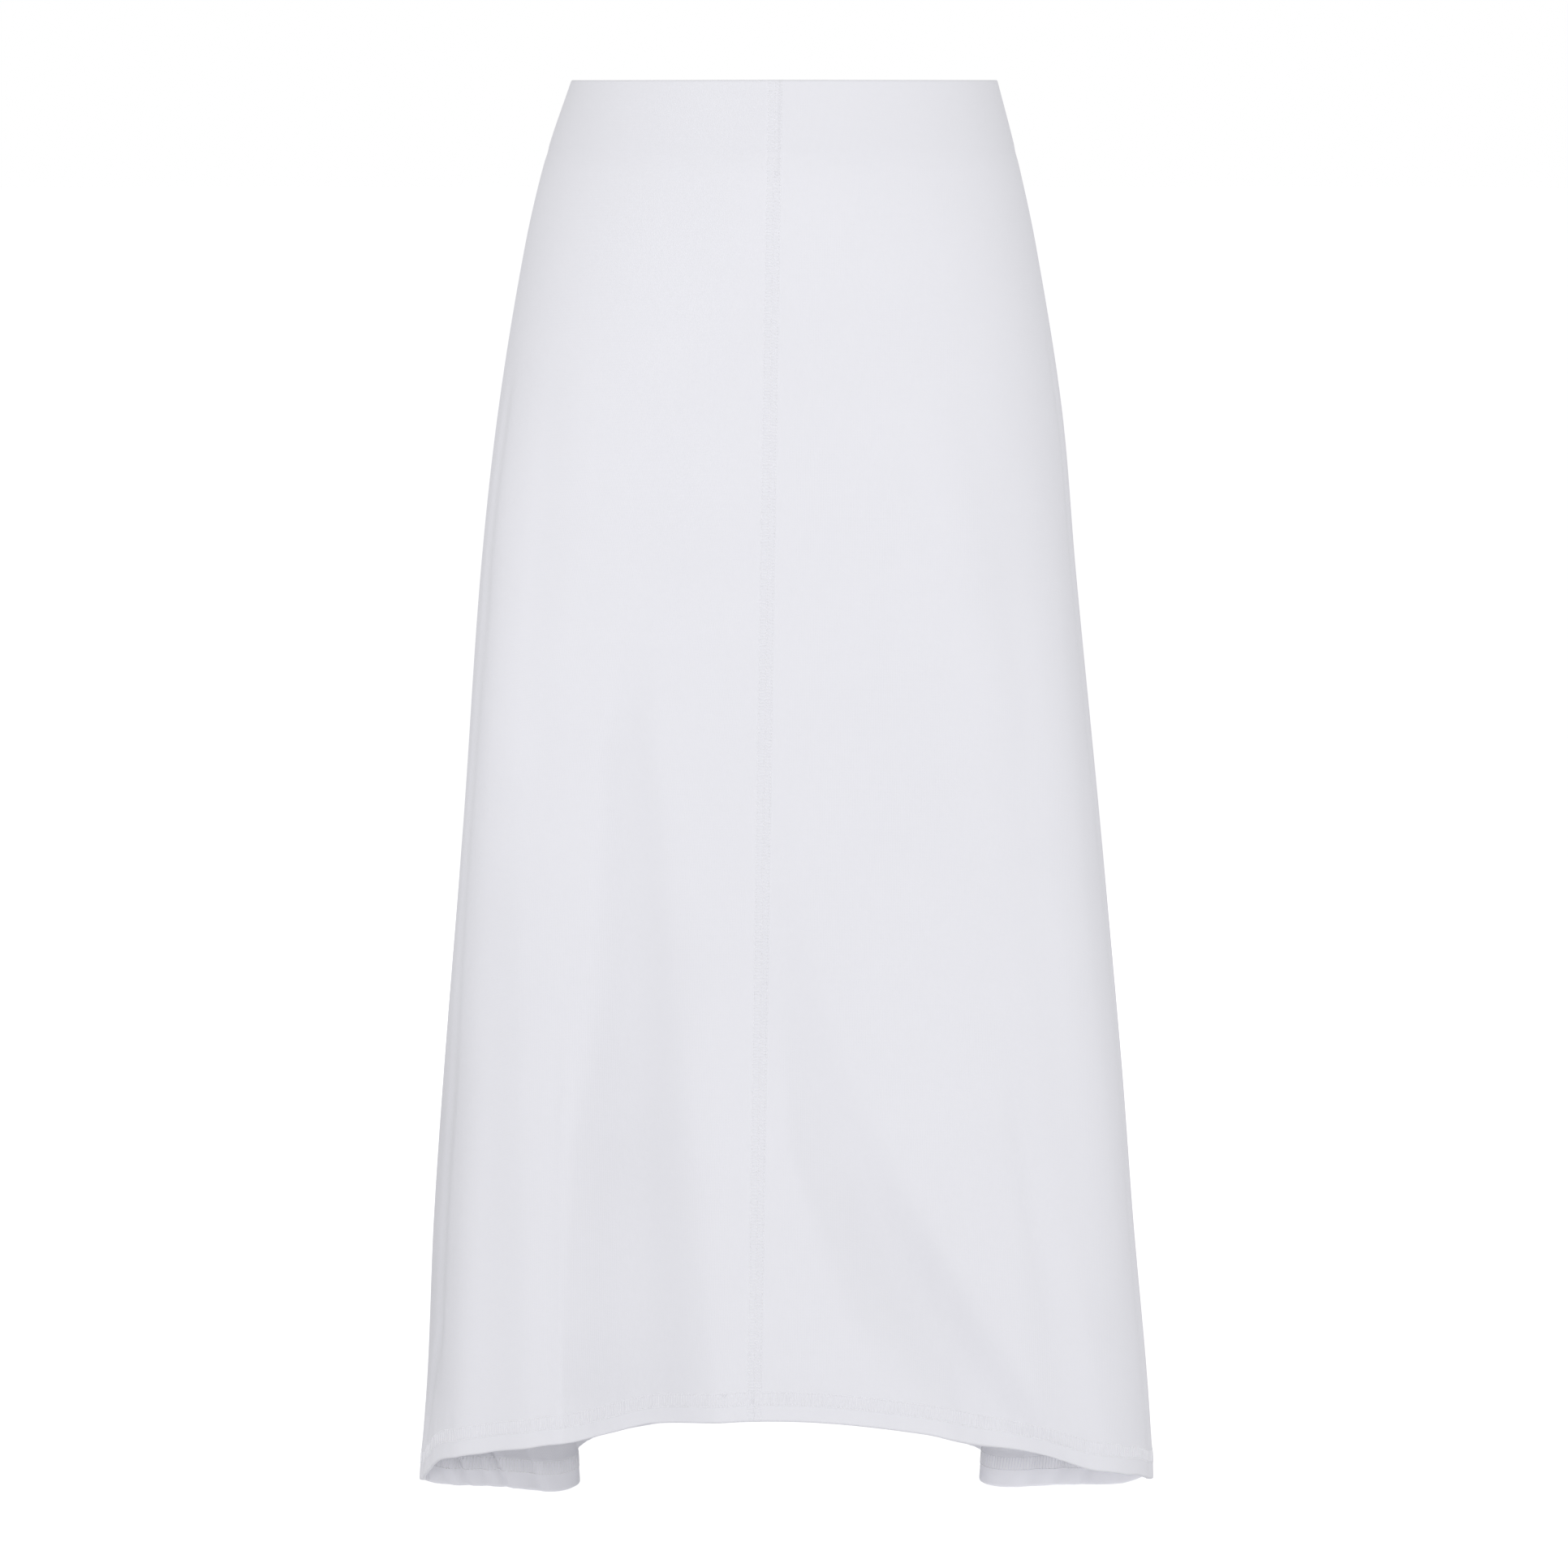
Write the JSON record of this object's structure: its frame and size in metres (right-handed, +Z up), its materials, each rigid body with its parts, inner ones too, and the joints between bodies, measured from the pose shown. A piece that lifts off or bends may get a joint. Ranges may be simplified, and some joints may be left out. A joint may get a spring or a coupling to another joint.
{
  "type": "skirt",
  "caption": "White A-line midi skirt in stretch jersey, hollow as worn, with a plain doubled waistband, a centre front seam and a curved hem that is longer at the back.",
  "frame": {"origin": "centre of the waist opening, level with the top edge of the waistband", "axes": "+Z up, -Y to the front of the garment, +X to the viewer's right when facing the front"},
  "size_m": [0.4564, 0.305, 0.877],
  "materials": {
    "jersey": "matte white cotton stretch jersey, fine vertical knit wales, soft hand",
    "thread": "white textured polyester sewing thread, slightly brighter than the cloth"
  },
  "bodies": {
    "root": {"waistband_front_left": "jersey", "waistband_front_right": "jersey", "waistband_back": "jersey", "front_left_panel": "jersey", "front_right_panel": "jersey", "back_right_panel": "jersey", "back_left_panel": "jersey"}
  },
  "joints": []
}
